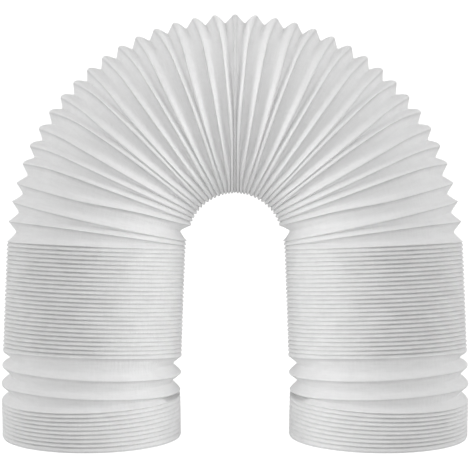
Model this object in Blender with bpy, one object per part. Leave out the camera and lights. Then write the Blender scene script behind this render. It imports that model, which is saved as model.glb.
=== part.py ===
"""An air conditioner exhaust hose, bent into an arch that stands on its two open ends.

The hose is one moulded plastic bellows. Every fold is a sharp outer ridge with a valley beside it, and a fold stays
where it is pushed: closed, open all round, or open on one side only, which is what bends the hose. The rings are laid
from the crown of the arch down one leg, fold by fold, and mirrored for the other leg.

Metres, +Z up. The legs stand side by side along X, the front is towards -Y, and the arch leans back a little.
"""

import math

import bmesh
import bpy
from mathutils import Matrix, Vector

# The hose itself
OUTER_DIAMETER = 0.150  # over the ridges
WALL = 0.0008  # thickness of the plastic, a little over the real film
FOLD_DEPTH = 0.0070  # an open fold, from ridge to valley
CLOSED_DEPTH = 0.0095  # a closed fold, from ridge to bore
GROOVE_DEPTH = 0.0012  # what shows of a closed fold between two ridges
CLOSED_PITCH = 0.00345  # ridge to ridge where a fold is shut
SIDES = 16  # facets round the hose

# How many folds each stretch of one leg has, from the crown down
ARCH_FOLDS = 15  # open outside, shut inside
SHOULDER_FOLDS = 2  # the same, below the one fold that is open all round
STACK_FOLDS = 26  # shut
COLLAR_FOLDS = 9  # shut, down to the cut end

# How far the free folds stand open, measured on the hose's axis
SPRING_GAP = 0.01275  # the one open fold at the foot of the arch
KNEE_UPPER_GAP = 0.0131  # the three open folds above the collar
KNEE_LOWER_GAP = 0.0152
KNEE_HINGE_GAP = 0.0095

# How each stretch turns the hose within the arch's plane, in degrees
QUARTER_TURN = 90.0  # from the crown to the floor
SPRING_TURN = 1.9
STACK_TURN = 0.5
KNEE_UPPER_TURN = -1.0
KNEE_LOWER_TURN = 0.4
KNEE_HINGE_TURN = 4.1  # this one is shut on its inner side
COLLAR_TURN = -1.6

# The arch leans back by this many degrees, and two of the open folds bring the ends flat to the floor
LEAN = 5.2
KNEE_UPPER_LEAN_SHARE = 0.75

OUTER_RADIUS = OUTER_DIAMETER / 2
VALLEY_RADIUS = OUTER_RADIUS - FOLD_DEPTH
GROOVE_RADIUS = OUTER_RADIUS - GROOVE_DEPTH
BORE_RADIUS = OUTER_RADIUS - CLOSED_DEPTH

PLASTIC_COLOUR = (0.80, 0.80, 0.80, 1.0)
PLASTIC_ROUGHNESS = 0.45
SHARP_ANGLE = math.radians(30)


class Fold:
    """One fold, from a ridge ring to the next one down the leg."""

    def __init__(self, gap, turn=0.0, unlean=0.0, is_open=True):
        self.gap = gap
        self.turn = math.radians(turn)
        self.unlean = math.radians(unlean)
        self.is_open = is_open

    def gap_at(self, angle):
        """Ridge to ridge distance at an angle round the hose, 0 on the outer side and 90 degrees at the front."""
        spread = self.turn * math.cos(angle) + self.unlean * math.sin(angle)
        return self.gap + spread * OUTER_RADIUS

    def wall_across(self, angle):
        """Radial thickness of the slanting wall of an open fold."""
        half_gap = self.gap_at(angle) / 2
        return WALL * math.hypot(half_gap, FOLD_DEPTH) / half_gap


def bending_fold(turn):
    """A fold that is shut on the inner side and open on the outer side."""
    return Fold(CLOSED_PITCH + math.radians(turn) * OUTER_RADIUS, turn)


def leg_folds():
    """The folds of one leg from the crown down. The arch shares out the turn that the other folds leave."""
    knee_turns = KNEE_UPPER_TURN + KNEE_LOWER_TURN + KNEE_HINGE_TURN
    other_turns = SPRING_TURN + STACK_TURN + knee_turns + COLLAR_TURN
    arch_turn = (QUARTER_TURN - other_turns) / (ARCH_FOLDS + SHOULDER_FOLDS)
    hinge_lean_share = 1 - KNEE_UPPER_LEAN_SHARE
    folds = [bending_fold(arch_turn) for _ in range(ARCH_FOLDS)]
    folds.append(Fold(SPRING_GAP, SPRING_TURN))
    folds += [bending_fold(arch_turn) for _ in range(SHOULDER_FOLDS)]
    folds += [Fold(CLOSED_PITCH, STACK_TURN / STACK_FOLDS, is_open=False) for _ in range(STACK_FOLDS)]
    folds.append(Fold(KNEE_UPPER_GAP, KNEE_UPPER_TURN, LEAN * KNEE_UPPER_LEAN_SHARE))
    folds.append(Fold(KNEE_LOWER_GAP, KNEE_LOWER_TURN))
    folds.append(Fold(KNEE_HINGE_GAP, KNEE_HINGE_TURN, LEAN * hinge_lean_share))
    folds += [Fold(CLOSED_PITCH, COLLAR_TURN / COLLAR_FOLDS, is_open=False) for _ in range(COLLAR_FOLDS)]
    return folds


class Station:
    """A ring's place on one leg: its centre, the tilt of its plane, and how far the hose leans back there."""

    def __init__(self, centre, tilt, lean):
        self.centre = centre
        self.tilt = tilt
        self.lean = lean

    def axes(self):
        """Directions to the hose's outer side, to its front and on down the leg."""
        leaned = Matrix.Rotation(-self.lean, 3, "X") @ Matrix.Rotation(self.tilt, 3, "Y")
        return leaned @ Vector((-1, 0, 0)), leaned @ Vector((0, -1, 0)), leaned @ Vector((0, 0, -1))

    def moved(self, distance, turn=0.0, unlean=0.0):
        """The ring a little further down, where the plane has turned by turn and straightened by unlean."""
        half_way = Station(self.centre, self.tilt - turn / 2, self.lean - unlean / 2)
        return Station(self.centre + distance * half_way.axes()[2], self.tilt - turn, self.lean - unlean)

    def ring(self, radius_at):
        outward, front, _ = self.axes()
        points = []
        for side in range(SIDES):
            angle = math.tau * side / SIDES
            direction = outward * math.cos(angle) + front * math.sin(angle)
            points.append(self.centre + direction * radius_at(angle))
        return points


def constant(radius):
    return lambda angle: radius


def inside(radius, *folds):
    """The inner face of the wall at a ridge or a valley of these open folds."""
    return lambda angle: radius - sum(fold.wall_across(angle) for fold in folds) / len(folds)


def leg_rings():
    """The outer and the inner rings of one leg, from the crown's ridge down to the cut end."""
    folds = leg_folds()
    station = Station(Vector((0, 0, 0)), math.radians(QUARTER_TURN), math.radians(LEAN))
    outer = [station.ring(constant(OUTER_RADIUS))]
    inner = [station.ring(inside(OUTER_RADIUS, folds[0]))]
    for fold, following in zip(folds, folds[1:] + [None]):
        middle = station.moved(fold.gap / 2, fold.turn / 2, fold.unlean / 2)
        station = station.moved(fold.gap, fold.turn, fold.unlean)
        valley = VALLEY_RADIUS if fold.is_open else GROOVE_RADIUS
        outer.append(middle.ring(constant(valley)))
        outer.append(station.ring(constant(OUTER_RADIUS)))
        if fold.is_open:
            inner.append(middle.ring(inside(VALLEY_RADIUS, fold)))
        if fold.is_open and following.is_open:
            inner.append(station.ring(inside(OUTER_RADIUS, fold, following)))
        elif following is not None and fold.is_open != following.is_open:
            inner.append(station.ring(constant(BORE_RADIUS)))
    end = station.moved(CLOSED_PITCH / 2)
    outer.append(end.ring(constant(GROOVE_RADIUS)))
    inner.append(end.ring(constant(BORE_RADIUS)))
    return outer, inner


def mirrored(rings):
    return [[Vector((-point.x, point.y, point.z)) for point in ring] for ring in rings]


def whole_hose(rings):
    """One leg's rings and their mirror image in one run, end to end, with the crown's ring once."""
    return rings[:0:-1] + mirrored(rings)


def skin(bm, rings):
    """A band of faces between each ring and the next."""
    rows = [[bm.verts.new(point) for point in ring] for ring in rings]
    for upper, lower in zip(rows, rows[1:]):
        for side in range(SIDES):
            after = (side + 1) % SIDES
            bm.faces.new((upper[side], upper[after], lower[after], lower[side]))
    return rows


def cap(bm, outer_row, inner_row):
    """The flat ring of the cut end."""
    for side in range(SIDES):
        after = (side + 1) % SIDES
        bm.faces.new((outer_row[side], outer_row[after], inner_row[after], inner_row[side]))


def stand_on_floor(bm):
    """Puts the ends on the floor and the origin under the middle of the hose."""
    depths = [vert.co.y for vert in bm.verts]
    middle = (min(depths) + max(depths)) / 2
    floor = min(vert.co.z for vert in bm.verts)
    bmesh.ops.translate(bm, verts=bm.verts, vec=(0, -middle, -floor))


def white_plastic():
    material = bpy.data.materials.new("white_plastic")
    material.use_nodes = True
    shader = material.node_tree.nodes["Principled BSDF"]
    shader.inputs["Base Color"].default_value = PLASTIC_COLOUR
    shader.inputs["Roughness"].default_value = PLASTIC_ROUGHNESS
    shader.inputs["Metallic"].default_value = 0.0
    return material


def hose():
    outer, inner = leg_rings()
    bm = bmesh.new()
    outer_rows = skin(bm, whole_hose(outer))
    inner_rows = skin(bm, whole_hose(inner))
    cap(bm, outer_rows[0], inner_rows[0])
    cap(bm, outer_rows[-1], inner_rows[-1])
    stand_on_floor(bm)
    bmesh.ops.recalc_face_normals(bm, faces=bm.faces)
    mesh = bpy.data.meshes.new("hose")
    bm.to_mesh(mesh)
    bm.free()
    mesh.shade_smooth()
    mesh.set_sharp_from_angle(angle=SHARP_ANGLE)
    mesh.materials.append(white_plastic())
    part = bpy.data.objects.new("hose", mesh)
    bpy.context.scene.collection.objects.link(part)
    return part


def main():
    for leftover in list(bpy.data.objects):
        bpy.data.objects.remove(leftover)
    hose()


main()
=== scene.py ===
"""The looks of an air conditioner exhaust hose: a white moulded bellows, bent into an arch on two ends.

The hose is drawn fold by fold from the crown of the arch down one leg, and mirrored for the other leg.
At the bend's outer edge a fold is an even vee. Towards the front and back it leans: the wall under the
ridge, on the leg side, is steep and short, then comes a flat bottom, and then a slow rise to the next
ridge. On the inner side the folds are shut.
"""

import math

import bmesh
import bpy
import numpy as np
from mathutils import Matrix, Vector


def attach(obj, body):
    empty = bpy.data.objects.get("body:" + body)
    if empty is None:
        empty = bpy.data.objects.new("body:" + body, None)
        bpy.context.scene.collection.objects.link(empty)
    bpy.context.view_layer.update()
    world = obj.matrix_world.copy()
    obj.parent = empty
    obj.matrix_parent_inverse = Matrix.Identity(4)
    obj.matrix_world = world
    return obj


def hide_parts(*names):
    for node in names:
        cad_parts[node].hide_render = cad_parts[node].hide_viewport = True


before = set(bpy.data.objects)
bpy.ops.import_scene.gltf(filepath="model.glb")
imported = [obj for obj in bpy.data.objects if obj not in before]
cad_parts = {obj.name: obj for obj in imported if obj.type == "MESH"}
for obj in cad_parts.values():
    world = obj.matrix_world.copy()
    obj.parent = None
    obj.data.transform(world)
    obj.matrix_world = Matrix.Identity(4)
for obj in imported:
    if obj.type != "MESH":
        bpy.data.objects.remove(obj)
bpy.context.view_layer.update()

# The hose's sizes, in metres, as the CAD part has them
OUTER_RADIUS = 0.075
CLOSED_PITCH = 0.00345
CUT_SHARE = 0.5  # the cut end lies this share of a shut fold below the last ridge
END_Y = -0.0099  # the middle of the leg ends, where the middle of the hose's box is 0
FLOOR_Z = 0.0

# The folds of one leg from the crown down: how many, how long on the axis, and how many degrees they turn
ARCH_FOLDS = 15
SHOULDER_FOLDS = 2
BEND_FOLDS = ARCH_FOLDS + 1 + SHOULDER_FOLDS
STACK_FOLDS = 26
COLLAR_FOLDS = 9
SPRING_GAP = 0.01275
KNEE_UPPER_GAP = 0.0131
KNEE_LOWER_GAP = 0.0152
KNEE_HINGE_GAP = 0.0095
LEG_TURN = 90  # from the level crown to the upright end
SPRING_TURN = 1.9
STACK_TURN = 0.5
KNEE_UPPER_TURN = -1.0
KNEE_LOWER_TURN = 0.4
KNEE_HINGE_TURN = 4.1
COLLAR_TURN = -1.6
LEAN = 5.2  # the arch leans back by this many degrees, and the ends don't
KNEE_UPPER_LEAN_SHARE = 0.75  # the upper knee fold takes up this share of it, the hinge fold the rest

# A fold's own shape, as distances along the hose and in from the ridge
OPEN_DEPTH = 0.0072
FRONT_DEPTH = 0.0034
GROOVE_DEPTH = 0.0022  # what shows between two ridges where a fold is shut
SIDE_GROOVE_DEPTH = 0.0015  # the same on a leg's left and right, where the folds are pressed together
ARCH_GROOVE_DEPTH = 0.0019  # the same where the arch's folds are shut
SHUT_VALLEY_RUN = 0.00092
OPEN_GAP = 0.0095  # a fold at least this wide has its full depth
NOTCH_DEPTH = 0.0062  # the hinge fold gapes a little at its inner end
CROWN_FLAT = 0.0004  # the crown's ridge is this much broader on either side
WALL = 0.0007
RIDGE_WALL = 1.4  # the film is this many times thicker inside a ridge
BORE_DEPTH = 0.0095  # from ridge to the lips inside the bore
BORE_GROOVE = 0.0012

# The step just under a ridge: at the hose's left and right, at its front and back, and on shut folds
STEP = ((0.00080, 0.00008), (0.00160, 0.00042), (0.00230, 0.00105), (0.00290, 0.00190))
FRONT_STEP = ((0.00022, 0.00010), (0.00050, 0.00080), (0.00042, 0.00190), (0.00110, 0.00270))
SHUT_STEP = ((0.00028, 0.00025), (0.00048, 0.00110))
STEP_REACH = 0.7  # a step takes up at most this share of the way to the valley
SHUT_BLUNT = 0.5  # where a bent fold is pressed shut, its ridge is this much as blunt
FULLY_BLUNT_ROUND = 1.5  # a fold this round has a fully blunt ridge, and a straighter one a sharper ridge
LEAST_BLUNT = 0.35

# A fold's other points, as shares of the way from step to valley and from valley to the next ridge
OPEN_FALLS = (0.3, 0.6, 0.82)
OPEN_RISES = (0.1, 0.22, 0.36, 0.52, 0.68, 0.82, 0.93)
SHUT_FALLS = ()
SHUT_RISES = (0.2, 0.45, 0.75)
VALLEY_ROW = 1 + len(STEP) + len(OPEN_FALLS)
FILM_ROWS = range(VALLEY_ROW - 4, VALLEY_ROW + 8, 2)  # which of the points the film's inside follows
LIP = 0.3
LIP_GROOVE = 0.6

# How much painted shade each of a fold's points gets along the fold line under its ridge and in a gape,
# and how marked it is by wear and by a painted highlight on the ridge
OPEN_CREASE_SHADES = (0, 0.3, 1, 1, 0.45) + (0,) * 11
OPEN_GAPE_SHADES = (0, 0, 0.5) + (1,) * 8 + (0.6, 0, 0, 0, 0)
OPEN_WEAR_AND_HIGHLIGHT = (1, 0.3) + (0,) * 13 + (0.4,)
SHUT_CREASE_SHADES = (0.2, 0.25, 0.35, 0.4, 0.3, 0.25, 0.2)
SHUT_WEAR_AND_HIGHLIGHT = (1, 0.2, 0, 0, 0, 0, 0.2)
SHUT_CREASE_SHADE = 0.35  # where a bent fold is pressed shut, its painted shade under the ridge is this share as strong
CREASE_GAPS = (0.004, 0.009)  # shut up to the first of these gaps, for that, and open from the second
KNEE_CREASE_SHADE = 0.55  # how strong the painted shade under the knee folds' ridges is beside the arch's

# How round each kind of fold is beside its ridge. At 1 the wall is straight, below 1 it is hollow
ARCH_ROUND = 1.8
SHOULDER_ROUND = 0.85
KNEE_ROUND = 1.7
KNEE_INNER_ROUND = 1.1
SHUT_ROUND = 2.6
NOTCH_ROUND = 3.0  # the gaping fold's lower wall stays deep and then rises steeply
VALLEY_ROUND = 0.12  # how far up the walls the rounding of a valley reaches, as a share of them
RISE = 1.4  # above 1, the slow rise at the front is steepest nearer to the ridge
CHANGING_FOLDS = 3  # over this many folds the arch's outer edge takes on the shoulder's roundness

# Where round the hose each of these starts and is complete, by the cosine of the angle off the outer side
OUTER_PRESS = (0.5, 0.95)  # shut folds pressed together
OUTER_SHADE_REACH = (-0.8, 0.3)  # the shut folds' painted shade, growing towards the outer side
INNER_PRESS = (-0.2, 0.6)  # shut folds pressed together, by minus the cosine
NOTCH_REACH = (0.80, 0.92)  # the hinge fold's gape, by minus the cosine
LEANING_REACH = (0.0, 0.4)  # the lean of the open folds, by 1 less the size of the cosine

# The folds don't share the bend evenly. At the outer edge they are a little wider near the crown and near
# the leg than between the two. At the front and back some have snapped partly shut: each entry is a fold,
# counted from 0 at the crown, how far its upper ridge has come down, and how far its lower ridge has come
# up, as shares of an even fold.
OUTER_DRIFT = 0.11
SNAPPED = (
    (0, 0.0, 0.1),
    (3, 0.3, 0.15),
    (5, 0.25, 0.05),
    (7, 0.1, 0.0),
    (8, 0.35, 0.2),
    (10, 0.1, 0.4),
    (13, -0.1, 0.2),
    (16, 0.1, 0.15),
)
SLIP_ANGLE = math.radians(100)  # the front's slip is complete this far round from the outer side
PLAY_SHARE = 0.45  # a fold slips freely where at least this share of it is open
RIDGE_SHIFT = 0.0033  # all the arch's ridges lie this much nearer the crown away from the outer edge
SHIFT_ANGLE = math.radians(60)
LAST_SHIFT_ANGLES = (math.radians(70), math.radians(120))  # the arch's last ridge shifts between these
LEAST_GAP = 0.0026

# The cut end
CUT_RIM = 0.35  # its rounding starts this share of a shut fold above it
CUT_RIM_DEPTH = 0.0003
CUT_DEPTH = 0.0008
PLAIN_BORE_FOLDS = 2  # the last folds have no lips inside
LAST_LIP = 2.6  # the last lip lies this many shut folds above the cut end

SEGMENTS = 112  # facets round the hose
SHARP_ANGLE = math.radians(50)

# The plastic
PLASTIC_TONE = 0.935
PLASTIC_ROUGHNESS = 0.42
# The painted shade under each ridge and in the hinge fold's gape, taken off the film's tone
CREASE_SHADE = -0.18
SCATTER_LENGTH = 0.0004
BUMP_STRENGTH = 0.5
BUMP_HEIGHT = 0.0006
# Painted shade on the shut folds, stronger away from the inner side of the bend, as a share of the shade
# under the ridges
INNER_SIDE_SHADE = -0.02
STACK_OUTER_SHADE = 0.34
COLLAR_OUTER_SHADE = 0.06

# The film's noises: features to a metre across, front to back and along the hose, and then the detail
NOISES = {
    "cloud": ((48, 48, 60), 4),
    "smudge": ((60, 60, 330), 4),
    "streak": ((70, 70, 1100), 3),
    "crinkle": ((420, 420, 130), 3),
    "grain": ((2600, 2600, 2600), 2),
    "rub": ((150, 150, 150), 3),
}
RUB_RANGE = (-0.05, 0.15)
# How much each mark adds to the film's tone, to its roughness and to the bump's height
TONE_MARKS = {
    "cloud": 0.08,
    "smudge": 0.14,
    "streak": 0.07,
    "crinkle": 0.05,
    # painted shade under the ridges and in the gape
    "painted_crease_shade": CREASE_SHADE,
    # a painted highlight along the ridges and the cut rim
    "edge": 0.04,
    "rubbed": -0.04,
}
ROUGHNESS_MARKS = {
    "cloud": 0.16,
    "smudge": 0.20,
    "streak": 0.12,
    "painted_crease_shade": 0.12,
    "edge": -0.05,
    "rubbed": 0.16,
}
HEIGHT_MARKS = {"smudge": 1.0, "streak": 0.4, "crinkle": 1.2, "grain": 0.2}

# The floor, and the backdrop that it curves up into
FLOOR_HALF_WIDTH = 6.0
FLOOR_FRONT = -4.0
FLOOR_BACK = 3.0  # the curve starts here
BACKDROP_BEND = 1.5
BACKDROP_STEPS = 12
BACKDROP_HEIGHT = 5.0
FLOOR_TONE = 0.9
FLOOR_ROUGHNESS = 0.9
FLOOR_GLOW = 0.6

# How bright the studio's white walls are in each direction
FRONT_GLOW = 0.36
SIDE_GLOW = 1.03
BACK_GLOW = 0.55
TOP_GLOW = 0.71
# Its lamps: where each stands when it lights the left half, and how strong it is. The right half has its
# mirror image.
LAMPS = (
    ("key_lamp", (1.4, -0.62, 0.9), 5.8),
    ("low_lamp", (1.5, -0.5, 0.35), 3.4),
    ("outer_lamp", (-1.3, -0.7, 1.1), 2.25),
)
LAMP_SIZE = 0.7
LAMP_TARGET = (0, 0, 0.2)

# The camera
SENSOR_WIDTH = 36
PICTURE_WIDTH = 470  # pixels
FOCAL_LENGTH = 1928.2  # also in pixels
CAMERA_DISTANCE = 1.6005  # in front of the middle of the leg ends
CAMERA_HEIGHT = 0.3293
CAMERA_PITCH = 5.712  # degrees down from level


def arch_turn():
    knee_turns = KNEE_UPPER_TURN + KNEE_LOWER_TURN + KNEE_HINGE_TURN
    other_turns = SPRING_TURN + STACK_TURN + knee_turns + COLLAR_TURN
    return (LEG_TURN - other_turns) / (ARCH_FOLDS + SHOULDER_FOLDS)


def fold_list():
    """One leg's folds: (kind, gap on the axis, turn, how much less the hose leans back after it)."""
    bend = arch_turn()
    bend_gap = CLOSED_PITCH + math.radians(bend) * OUTER_RADIUS
    folds = [("arch", bend_gap, bend, 0.0)] * ARCH_FOLDS
    folds += [("shoulder", SPRING_GAP, SPRING_TURN, 0.0)]
    folds += [("shoulder", bend_gap, bend, 0.0)] * SHOULDER_FOLDS
    folds += [("shut", CLOSED_PITCH, STACK_TURN / STACK_FOLDS, 0.0)] * STACK_FOLDS
    folds += [("knee", KNEE_UPPER_GAP, KNEE_UPPER_TURN, LEAN * KNEE_UPPER_LEAN_SHARE)]
    folds += [("knee", KNEE_LOWER_GAP, KNEE_LOWER_TURN, 0.0)]
    folds += [("knee", KNEE_HINGE_GAP, KNEE_HINGE_TURN, LEAN * (1 - KNEE_UPPER_LEAN_SHARE))]
    folds += [("shut", CLOSED_PITCH, COLLAR_TURN / COLLAR_FOLDS, 0.0)] * COLLAR_FOLDS
    return folds


FOLDS = fold_list()
HINGE_FOLD = len(FOLDS) - COLLAR_FOLDS - 1
ANGLES = np.arange(SEGMENTS) * math.tau / SEGMENTS  # from the outer side of the bend, by way of the front


class Spine:
    """The hose's axis as a function of the fold number, which may lie between two folds."""

    STEPS = 16

    def __init__(self):
        centre = np.zeros(3)
        tilt = math.radians(LEG_TURN)
        lean = math.radians(LEAN)
        places, centres, tilts, leans = [0.0], [centre], [tilt], [lean]
        for number, (_, gap, turn, unlean) in enumerate(FOLDS):
            for step in range(self.STEPS):
                half_tilt = tilt - math.radians(turn) / self.STEPS / 2
                half_lean = lean - math.radians(unlean) / self.STEPS / 2
                down = self.axes(half_tilt, half_lean)[2]
                centre = centre + gap / self.STEPS * down
                tilt -= math.radians(turn) / self.STEPS
                lean -= math.radians(unlean) / self.STEPS
                places.append(number + (step + 1) / self.STEPS)
                centres.append(centre)
                tilts.append(tilt)
                leans.append(lean)
        down = self.axes(tilt, lean)[2]
        places.append(len(FOLDS) + 1.0)
        centres.append(centre + CLOSED_PITCH * down)
        tilts.append(tilt)
        leans.append(lean)
        end = centre + CLOSED_PITCH * CUT_SHARE * down
        self.places = np.array(places)
        self.centres = np.array(centres) + [0, END_Y - end[1], FLOOR_Z - end[2]]
        self.tilts = np.array(tilts)
        self.leans = np.array(leans)

    @staticmethod
    def axes(tilt, lean):
        """Directions to the outer side of the bend, to the front and down the leg, for arrays too."""
        ct, st, cl, sl = np.cos(tilt), np.sin(tilt), np.cos(lean), np.sin(lean)
        outward = np.stack([-ct, st * sl, st * cl], -1)
        front = np.stack([0 * ct, -cl, sl], -1)
        down = np.stack([-st, -ct * sl, -ct * cl], -1)
        return outward, front, down

    def row(self, place, radius):
        """A closed row of points round the hose. Place and radius have one value for each angle."""
        centre = np.stack([np.interp(place, self.places, self.centres[:, k]) for k in range(3)], -1)
        tilt = np.interp(place, self.places, self.tilts)
        lean = np.interp(place, self.places, self.leans)
        outward, front, _ = self.axes(tilt, lean)
        across = outward * np.cos(ANGLES)[:, None] + front * np.sin(ANGLES)[:, None]
        return centre + across * np.asarray(radius)[..., None]


SPINE = Spine()


def smooth(value, low, high):
    t = np.clip((value - low) / (high - low), 0, 1)
    return t * t * (3 - 2 * t)


def mix(start, end, share):
    return start + (end - start) * share


def is_shut(number):
    return FOLDS[number][0] == "shut"


def plain_gap(number):
    """Ridge to ridge distance of a fold at each angle, if its rings were flat."""
    _, gap, turn, unlean = FOLDS[number]
    spread = math.radians(turn) * np.cos(ANGLES) + math.radians(unlean) * np.sin(ANGLES)
    return gap + spread * OUTER_RADIUS


def slips(number):
    """How far a ridge has slipped down the hose, in even folds, at the outer edge and at the front."""
    if number > BEND_FOLDS:
        return 0.0, 0.0
    outer = OUTER_DRIFT * math.sin(math.tau * number / BEND_FOLDS)
    down = sum(amount for fold, amount, _ in SNAPPED if fold == number)
    up = sum(amount for fold, _, amount in SNAPPED if fold + 1 == number)
    return outer, down - up


def ridge_places():
    """Where each ridge lies along the hose at each angle, as a fold number."""
    off_side = np.abs((ANGLES + math.pi) % math.tau - math.pi)
    gap = plain_gap(0)
    play = np.clip((1 - CLOSED_PITCH / gap) / PLAY_SHARE, 0, 1)
    turned = smooth(off_side, 0, SLIP_ANGLE)
    shift = RIDGE_SHIFT / gap * smooth(off_side, 0, SHIFT_ANGLE)
    places = []
    for number in range(len(FOLDS) + 1):
        outer_slip, front_slip = slips(number)
        slip = outer_slip * (1 - turned) + front_slip * turned * play
        if 0 < number < ARCH_FOLDS:
            slip = slip - shift
        if number == ARCH_FOLDS:
            slip = slip - shift * smooth(off_side, *LAST_SHIFT_ANGLES)
        places.append(number + slip)
    for number in range(ARCH_FOLDS):
        least = places[number] + LEAST_GAP / gap
        places[number + 1] = np.maximum(places[number + 1], least)
    return places


RIDGES = ridge_places()
FOLD_NUMBERS = np.arange(len(FOLDS) + 1)
TRAVEL = np.cumsum([0 * ANGLES] + [plain_gap(number) for number in range(len(FOLDS))], axis=0)


def distance_at(place):
    """How far down the hose a place is, measured over the ridges at each angle."""
    return np.array([np.interp(place[k], FOLD_NUMBERS, TRAVEL[:, k]) for k in range(SEGMENTS)])


def place_at(distance):
    return np.array([np.interp(distance[k], TRAVEL[:, k], FOLD_NUMBERS) for k in range(SEGMENTS)])


def fold_gap(number):
    return distance_at(RIDGES[number + 1]) - distance_at(RIDGES[number])


def roundness(number):
    """How round the walls of a fold are at each angle when it is open."""
    kind = FOLDS[number][0]
    if kind == "arch":
        late = smooth(number, ARCH_FOLDS - CHANGING_FOLDS, ARCH_FOLDS)
        outer_side = np.clip(np.cos(ANGLES), 0, 1)
        return mix(ARCH_ROUND, SHOULDER_ROUND, late * outer_side)
    if kind == "shoulder":
        return mix(ARCH_ROUND, SHOULDER_ROUND, np.abs(np.cos(ANGLES)))
    if kind == "knee":
        return mix(KNEE_ROUND, KNEE_INNER_ROUND, np.clip(-np.cos(ANGLES), 0, 1))
    return SHUT_ROUND


def bluntness(number):
    """How blunt the ridge is at the left and right, as a share of the full rounding."""
    return np.clip(roundness(number) - (FULLY_BLUNT_ROUND - 1), LEAST_BLUNT, 1.0)


def off_valley(share):
    """The same share of the way from a valley to a ridge, with the valley's bottom rounded."""
    return share * share / (share + VALLEY_ROUND) * (1 + VALLEY_ROUND)


def leaning(number):
    """Where an open fold leans towards the leg, from 0 to 1: at the front and back."""
    if is_shut(number):
        return 0 * ANGLES
    return smooth(1 - np.abs(np.cos(ANGLES)), *LEANING_REACH)


def notch(number):
    """Where the hinge fold gapes, from 0 to 1."""
    return smooth(-np.cos(ANGLES), *NOTCH_REACH) * (number == HINGE_FOLD)


def groove_depth(number):
    """How deep a fold looks where it is shut."""
    if FOLDS[number][0] in ("arch", "shoulder"):
        return ARCH_GROOVE_DEPTH
    pressed = np.maximum(smooth(-np.cos(ANGLES), *INNER_PRESS), smooth(np.cos(ANGLES), *OUTER_PRESS))
    return mix(mix(GROOVE_DEPTH, SIDE_GROOVE_DEPTH, pressed), NOTCH_DEPTH, notch(number))


def step_rows(number, opened, leant, valley_run):
    """The step just under a fold's upper ridge, as (run, depth)."""
    if is_shut(number):
        return [(run + 0 * ANGLES, depth + 0 * ANGLES) for run, depth in SHUT_STEP]
    size = bluntness(number) * mix(SHUT_BLUNT, 1.0, opened)
    run_size = np.minimum(size, STEP_REACH * valley_run / STEP[-1][0])
    flat = CROWN_FLAT if number == 0 else 0
    rows = []
    for (run, depth), (front_run, front_depth) in zip(STEP, FRONT_STEP):
        run = mix(run * run_size, front_run + flat, leant)
        rows.append((run, mix(depth * size, front_depth, leant)))
    return rows


def profile(number):
    """One fold's outer face, from its upper ridge almost to its lower one, as (run, depth)."""
    gap = fold_gap(number)
    opened = smooth(gap, CLOSED_PITCH, OPEN_GAP)
    leant = leaning(number) * opened
    valley_run = mix(SHUT_VALLEY_RUN, gap / 2, np.maximum(opened, notch(number)))
    valley_depth = mix(groove_depth(number), mix(OPEN_DEPTH, FRONT_DEPTH, leant), opened)
    falls, rises = (SHUT_FALLS, SHUT_RISES) if is_shut(number) else (OPEN_FALLS, OPEN_RISES)
    rows = [(0 * gap, 0 * gap)] + step_rows(number, opened, leant, valley_run)
    step_run, step_depth = rows[-1]
    for t in falls:
        rows.append((mix(step_run, valley_run, t), mix(valley_depth, step_depth, off_valley(1 - t))))
    rows.append((valley_run, valley_depth))
    power = mix(SHUT_ROUND, roundness(number), opened)
    for t in rises:
        depth = mix((1 - off_valley(t)) ** power, 0.5 + 0.5 * math.cos(math.pi * t ** RISE), leant)
        depth = mix(depth, 1 - t ** NOTCH_ROUND, notch(number))
        rows.append((mix(valley_run, gap, t), valley_depth * depth))
    return rows


def shut_marks(number):
    """How much painted shade each point of a shut fold gets, and how marked it is by wear and a painted
    highlight.
    """
    outer_side_shade = STACK_OUTER_SHADE if number < HINGE_FOLD else COLLAR_OUTER_SHADE
    # painted shade that grows from the inner side of the bend towards the outer side
    side_shade = mix(INNER_SIDE_SHADE, outer_side_shade, smooth(np.cos(ANGLES), *OUTER_SHADE_REACH))
    return [(painted_crease_shade + side_shade, edge + 0 * ANGLES) for painted_crease_shade, edge in zip(SHUT_CREASE_SHADES, SHUT_WEAR_AND_HIGHLIGHT)]


def open_marks(number):
    """How much painted shade each point of an open or bent fold gets under its ridge or in the gape, and
    how marked it is by wear and a painted highlight.
    """
    free = mix(SHUT_CREASE_SHADE, 1.0, smooth(fold_gap(number), *CREASE_GAPS))
    if FOLDS[number][0] == "knee":
        free = free * KNEE_CREASE_SHADE
    rows = []
    for painted_crease_shade, gape, edge in zip(OPEN_CREASE_SHADES, OPEN_GAPE_SHADES, OPEN_WEAR_AND_HIGHLIGHT):
        rows.append((np.maximum(painted_crease_shade * free, gape * notch(number)), edge + 0 * ANGLES))
    return rows


def placed(number, rows):
    """(run, depth) rows as (place along the hose, radius) rows."""
    start = distance_at(RIDGES[number])
    return [(place_at(start + run), OUTER_RADIUS - depth) for run, depth in rows]


def outer_rows(number):
    """The outer face's rows: (place, radius, painted shade, wear and painted highlight)."""
    marks = shut_marks(number) if is_shut(number) else open_marks(number)
    return [row + mark for row, mark in zip(placed(number, profile(number)), marks)]


def lip_rows(gap):
    """The lips and grooves inside a shut fold, as (run, depth)."""
    rows = ((LIP, BORE_DEPTH), (LIP_GROOVE, BORE_DEPTH - BORE_GROOVE))
    return [(t * gap, depth + 0 * gap) for t, depth in rows]


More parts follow.
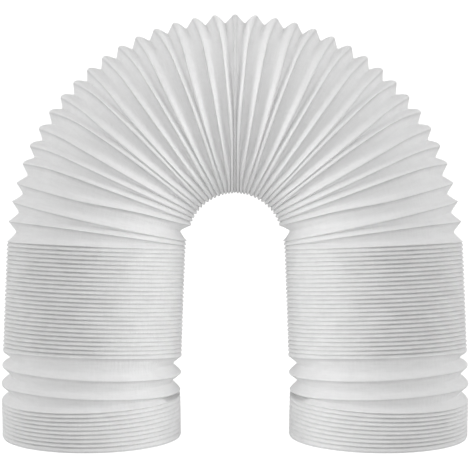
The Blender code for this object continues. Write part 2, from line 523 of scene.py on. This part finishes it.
def film_rows(number, gap):
    """The inside of an open fold, a film's thickness behind its outer face, as (run, depth)."""
    opened = smooth(gap, CLOSED_PITCH, OPEN_GAP)
    rows = profile(number)
    slant = np.hypot(gap / 2, rows[VALLEY_ROW][1]) / (gap / 2)
    inner = [(rows[0][0], WALL * slant * RIDGE_WALL)]
    for place in FILM_ROWS:
        run, depth = rows[place]
        inner.append((run, depth + WALL * (1.0 if place == VALLEY_ROW else slant)))
    return [(run, mix(BORE_DEPTH - BORE_GROOVE / 2, depth, opened)) for run, depth in inner]


def bore_rows(number):
    """The inner face's rows, as the outer face has them, with no marks."""
    gap = fold_gap(number)
    inner = lip_rows(gap) if is_shut(number) else film_rows(number, gap)
    unmarked = (0 * gap, 0 * gap)
    return [row + unmarked for row in placed(number, inner)]


def leg_rows(rows_of, folds, last):
    """The rows of one leg's first folds, from the crown down, and then the given last rows."""
    rows = []
    for number in range(folds):
        rows += rows_of(number)
    return rows + last


def band_faces(rows, offset):
    """The faces between neighbouring rows."""
    faces = []
    for row in range(rows - 1):
        for side in range(SEGMENTS):
            after = (side + 1) % SEGMENTS
            upper, lower = offset + row * SEGMENTS, offset + (row + 1) * SEGMENTS
            faces.append((upper + side, upper + after, lower + after, lower + side))
    return faces


def end_faces(outer_start, inner_start):
    """The faces between an outer row and an inner one."""
    faces = []
    for side in range(SEGMENTS):
        after = (side + 1) % SEGMENTS
        faces.append((outer_start + side, outer_start + after, inner_start + after, inner_start + side))
    return faces


def half_rows():
    """Outer and inner rows of the left half, from the crown's ridge to the cut end."""
    cut_place = np.full(SEGMENTS, len(FOLDS) + CUT_SHARE)
    around = np.full(SEGMENTS, OUTER_RADIUS)
    plain = (0 * around, 0 * around)
    # The cut rim is marked by wear and by the painted highlight.
    worn_and_highlit = (0 * around, 0 * around + 1)
    outer_end = [
        (RIDGES[-1], around) + worn_and_highlit,
        (cut_place - CUT_RIM, around - CUT_RIM_DEPTH) + plain,
        (cut_place, around - CUT_DEPTH) + worn_and_highlit,
    ]
    bore_end = [
        (cut_place - LAST_LIP, around - BORE_DEPTH) + plain,
        (cut_place, around - CUT_DEPTH - WALL) + worn_and_highlit,
    ]
    outer = leg_rows(outer_rows, len(FOLDS), outer_end)
    inner = leg_rows(bore_rows, len(FOLDS) - PLAIN_BORE_FOLDS, bore_end)
    return outer, inner


def hose_space(rows):
    """Each point unrolled: its direction from the axis times the radius, and how far down it lies."""
    gaps = [gap for _, gap, _, _ in FOLDS] + [CLOSED_PITCH]
    along = np.concatenate([[0], np.cumsum(gaps)])
    places = np.array([place for place, _, _, _ in rows])
    distance = np.interp(places, np.arange(len(along)), along)
    across = np.broadcast_to(OUTER_RADIUS * np.cos(ANGLES), distance.shape)
    front = np.broadcast_to(OUTER_RADIUS * np.sin(ANGLES), distance.shape)
    return np.stack([across, front, distance], -1)


def half_mesh(name, outer, inner, mirror):
    """A closed mesh of one half, with its painted shade, its wear and painted highlight, and its unrolled
    points as attributes.
    """
    rows = outer + inner
    points = np.concatenate([SPINE.row(place, radius) for place, radius, _, _ in rows])
    if mirror:
        points = points * [-1, 1, 1]
    inner_start = len(outer) * SEGMENTS
    faces = band_faces(len(outer), 0) + band_faces(len(inner), inner_start)
    faces += end_faces(0, inner_start)
    faces += end_faces(inner_start - SEGMENTS, len(points) - SEGMENTS)
    mesh = bpy.data.meshes.new(name)
    mesh.from_pydata(points.tolist(), [], faces)
    body = bmesh.new()
    body.from_mesh(mesh)
    bmesh.ops.recalc_face_normals(body, faces=body.faces)
    body.to_mesh(mesh)
    body.free()
    painted_shades = mesh.attributes.new("painted_crease_shade", "FLOAT", "POINT")
    painted_shades.data.foreach_set("value", np.ravel([painted_crease_shade for _, _, painted_crease_shade, _ in rows]))
    edges = mesh.attributes.new("edge", "FLOAT", "POINT")
    edges.data.foreach_set("value", np.ravel([edge for _, _, _, edge in rows]))
    unrolled = mesh.attributes.new("hose_space", "FLOAT_VECTOR", "POINT")
    unrolled.data.foreach_set("vector", np.ravel(hose_space(rows)))
    return mesh


class Graph:
    """Adds nodes to a tree. A value is a number or another node's output."""

    def __init__(self, tree):
        self.nodes = tree.nodes
        self.links = tree.links

    def put(self, value, socket):
        if isinstance(value, bpy.types.NodeSocket):
            self.links.new(value, socket)
        else:
            socket.default_value = value

    def math(self, operation, *values):
        node = self.nodes.new("ShaderNodeMath")
        node.operation = operation
        for value, socket in zip(values, node.inputs):
            self.put(value, socket)
        return node.outputs["Value"]

    def sum(self, *values):
        total = values[0]
        for value in values[1:]:
            total = self.math("ADD", total, value)
        return total

    def product(self, *values):
        total = values[0]
        for value in values[1:]:
            total = self.math("MULTIPLY", total, value)
        return total

    def weighed(self, marks, amounts):
        """Each named mark times its amount."""
        return [self.product(marks[name], amount) for name, amount in amounts.items()]

    def ramp(self, value, low, high):
        """A smooth rise from 0 to 1 between the low and the high value."""
        node = self.nodes.new("ShaderNodeMapRange")
        node.interpolation_type = "SMOOTHSTEP"
        node.inputs["From Min"].default_value = low
        node.inputs["From Max"].default_value = high
        self.put(value, node.inputs["Value"])
        return node.outputs["Result"]

    def attribute(self, name, output):
        node = self.nodes.new("ShaderNodeAttribute")
        node.attribute_name = name
        return node.outputs[output]

    def noise(self, vector, scales, detail):
        """Noise from -0.5 to 0.5, with features a metre over the scale in size."""
        stretch = self.nodes.new("ShaderNodeVectorMath")
        stretch.operation = "MULTIPLY"
        self.put(vector, stretch.inputs[0])
        stretch.inputs[1].default_value = scales
        node = self.nodes.new("ShaderNodeTexNoise")
        node.inputs["Scale"].default_value = 1.0
        node.inputs["Detail"].default_value = detail
        self.put(stretch.outputs["Vector"], node.inputs["Vector"])
        return self.math("SUBTRACT", node.outputs["Fac"], 0.5)


def film_marks(graph):
    """What marks the film at each point: the noises, the painted shade under the ridges, the edges with
    their wear and painted highlight, and where the edges are rubbed.
    """
    unrolled = graph.attribute("hose_space", "Vector")
    marks = {name: graph.noise(unrolled, scales, detail) for name, (scales, detail) in NOISES.items()}
    marks["painted_crease_shade"] = graph.attribute("painted_crease_shade", "Fac")
    marks["edge"] = graph.attribute("edge", "Fac")
    marks["rubbed"] = graph.product(marks["edge"], graph.ramp(marks["rub"], *RUB_RANGE))
    return marks


def white_plastic():
    """Satin white film that passes light. Shade is painted under each ridge and in the hinge fold's gape,
    and a highlight is painted along the ridges. The moulding has streaked it round the hose, and it is
    faintly crinkled along it, clouded, and rubbed on the ridges."""
    material = bpy.data.materials.new("white_plastic")
    material.use_nodes = True
    graph = Graph(material.node_tree)
    shader = graph.nodes["Principled BSDF"]
    marks = film_marks(graph)
    tone = graph.sum(PLASTIC_TONE, *graph.weighed(marks, TONE_MARKS))
    colour = graph.nodes.new("ShaderNodeCombineColor")
    for socket in colour.inputs:
        graph.put(tone, socket)
    graph.put(colour.outputs["Color"], shader.inputs["Base Color"])
    dullness = graph.sum(PLASTIC_ROUGHNESS, *graph.weighed(marks, ROUGHNESS_MARKS))
    graph.put(dullness, shader.inputs["Roughness"])
    bump = graph.nodes.new("ShaderNodeBump")
    bump.inputs["Strength"].default_value = BUMP_STRENGTH
    bump.inputs["Distance"].default_value = BUMP_HEIGHT
    graph.put(graph.sum(*graph.weighed(marks, HEIGHT_MARKS)), bump.inputs["Height"])
    graph.put(bump.outputs["Normal"], shader.inputs["Normal"])
    shader.inputs["Subsurface Weight"].default_value = 1.0
    shader.inputs["Subsurface Radius"].default_value = (1, 1, 1)
    shader.inputs["Subsurface Scale"].default_value = SCATTER_LENGTH
    return material


def hose():
    """The two halves, which meet on the crown's ridge."""
    outer, inner = half_rows()
    plastic = white_plastic()
    halves = []
    for name, mirror in (("hose_left_half", False), ("hose_right_half", True)):
        piece = bpy.data.objects.new(name, half_mesh(name, outer, inner, mirror))
        bpy.context.scene.collection.objects.link(piece)
        piece.data.shade_smooth()
        piece.data.set_sharp_from_angle(angle=SHARP_ANGLE)
        piece.data.materials.append(plastic)
        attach(piece, "root")
        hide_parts("hose")
        halves.append(piece)
    return halves


def floor_material():
    """White paper. To the camera it glows a little, as a backdrop with lamps of its own does."""
    material = bpy.data.materials.new("floor")
    material.use_nodes = True
    graph = Graph(material.node_tree)
    shader = graph.nodes["Principled BSDF"]
    shader.inputs["Base Color"].default_value = (FLOOR_TONE, FLOOR_TONE, FLOOR_TONE, 1)
    shader.inputs["Roughness"].default_value = FLOOR_ROUGHNESS
    glow = graph.nodes.new("ShaderNodeEmission")
    glow.inputs["Strength"].default_value = FLOOR_GLOW
    path = graph.nodes.new("ShaderNodeLightPath")
    seen = graph.nodes.new("ShaderNodeMixShader")
    both = graph.nodes.new("ShaderNodeAddShader")
    graph.put(path.outputs["Is Camera Ray"], seen.inputs["Fac"])
    graph.put(glow.outputs["Emission"], seen.inputs[2])
    graph.put(shader.outputs["BSDF"], both.inputs[0])
    graph.put(seen.outputs["Shader"], both.inputs[1])
    graph.put(both.outputs["Shader"], graph.nodes["Material Output"].inputs["Surface"])
    return material


def floor():
    """A pale floor that curves up into a backdrop far behind the hose."""
    outline = [(FLOOR_FRONT, 0.0)]
    for step in range(BACKDROP_STEPS + 1):
        angle = math.pi / 2 * step / BACKDROP_STEPS
        y = FLOOR_BACK + BACKDROP_BEND * math.sin(angle)
        outline.append((y, BACKDROP_BEND - BACKDROP_BEND * math.cos(angle)))
    outline.append((FLOOR_BACK + BACKDROP_BEND, BACKDROP_HEIGHT))
    points = [(x, y, z) for y, z in outline for x in (-FLOOR_HALF_WIDTH, FLOOR_HALF_WIDTH)]
    faces = [(2 * k, 2 * k + 1, 2 * k + 3, 2 * k + 2) for k in range(len(outline) - 1)]
    mesh = bpy.data.meshes.new("floor")
    mesh.from_pydata(points, [], faces)
    mesh.shade_smooth()
    mesh.materials.append(floor_material())
    piece = bpy.data.objects.new("floor", mesh)
    bpy.context.scene.collection.objects.link(piece)


def area_light(name, place, power):
    lamp = bpy.data.lights.new(name, "AREA")
    lamp.shape = "RECTANGLE"
    lamp.size = LAMP_SIZE
    lamp.size_y = LAMP_SIZE
    lamp.energy = power
    piece = bpy.data.objects.new(name, lamp)
    piece.location = place
    aim = Vector(LAMP_TARGET) - Vector(place)
    piece.rotation_euler = aim.to_track_quat("-Z", "Y").to_euler()
    bpy.context.scene.collection.objects.link(piece)
    return piece


def lights_only(lamp, pieces):
    """The lamp falls on these pieces alone."""
    group = bpy.data.collections.new(lamp.name + "_group")
    for piece in pieces:
        group.objects.link(piece)
    lamp.light_linking.receiver_collection = group


def studio():
    """White walls all round, as bright as the constants say, and plain white to the camera itself."""
    world = bpy.data.worlds.new("studio")
    world.use_nodes = True
    graph = Graph(world.node_tree)
    background = graph.nodes["Background"]
    background.inputs["Color"].default_value = (1, 1, 1, 1)
    place = graph.nodes.new("ShaderNodeTexCoord")
    parts = graph.nodes.new("ShaderNodeSeparateXYZ")
    graph.put(place.outputs["Generated"], parts.inputs["Vector"])
    sideways, back, up = [parts.outputs[name] for name in ("X", "Y", "Z")]
    is_back = graph.math("GREATER_THAN", back, 0.0)
    depth_glow = graph.sum(FRONT_GLOW, graph.product(is_back, BACK_GLOW - FRONT_GLOW))
    glow = graph.sum(
        graph.product(back, back, depth_glow),
        graph.product(sideways, sideways, SIDE_GLOW),
        graph.product(up, up, TOP_GLOW),
    )
    graph.put(glow, background.inputs["Strength"])
    white = graph.nodes.new("ShaderNodeBackground")
    white.inputs["Color"].default_value = (1, 1, 1, 1)
    path = graph.nodes.new("ShaderNodeLightPath")
    seen = graph.nodes.new("ShaderNodeMixShader")
    graph.put(path.outputs["Is Camera Ray"], seen.inputs["Fac"])
    graph.put(background.outputs["Background"], seen.inputs[1])
    graph.put(white.outputs["Background"], seen.inputs[2])
    graph.put(seen.outputs["Shader"], graph.nodes["World Output"].inputs["Surface"])
    bpy.context.scene.world = world


def lights(left_half, right_half):
    """Each lamp falls on the left half alone, and its mirror image on the right half alone."""
    for name, (x, y, z), power in LAMPS:
        for half_name, side, half in (("_left_half", 1, left_half), ("_right_half", -1, right_half)):
            lamp = area_light(name + half_name, (side * x, y, z), power)
            lights_only(lamp, [half])


def camera():
    lens = bpy.data.cameras.new("camera")
    lens.sensor_width = SENSOR_WIDTH
    lens.lens = FOCAL_LENGTH / PICTURE_WIDTH * SENSOR_WIDTH
    piece = bpy.data.objects.new("camera", lens)
    piece.location = (0, END_Y - CAMERA_DISTANCE, CAMERA_HEIGHT)
    piece.rotation_euler = (math.radians(90 - CAMERA_PITCH), 0, 0)
    bpy.context.scene.collection.objects.link(piece)
    bpy.context.scene.camera = piece


def colours():
    scene = bpy.context.scene
    scene.view_settings.view_transform = "Standard"
    scene.view_settings.look = "None"


camera()
floor()
studio()
lights(*hose())
colours()
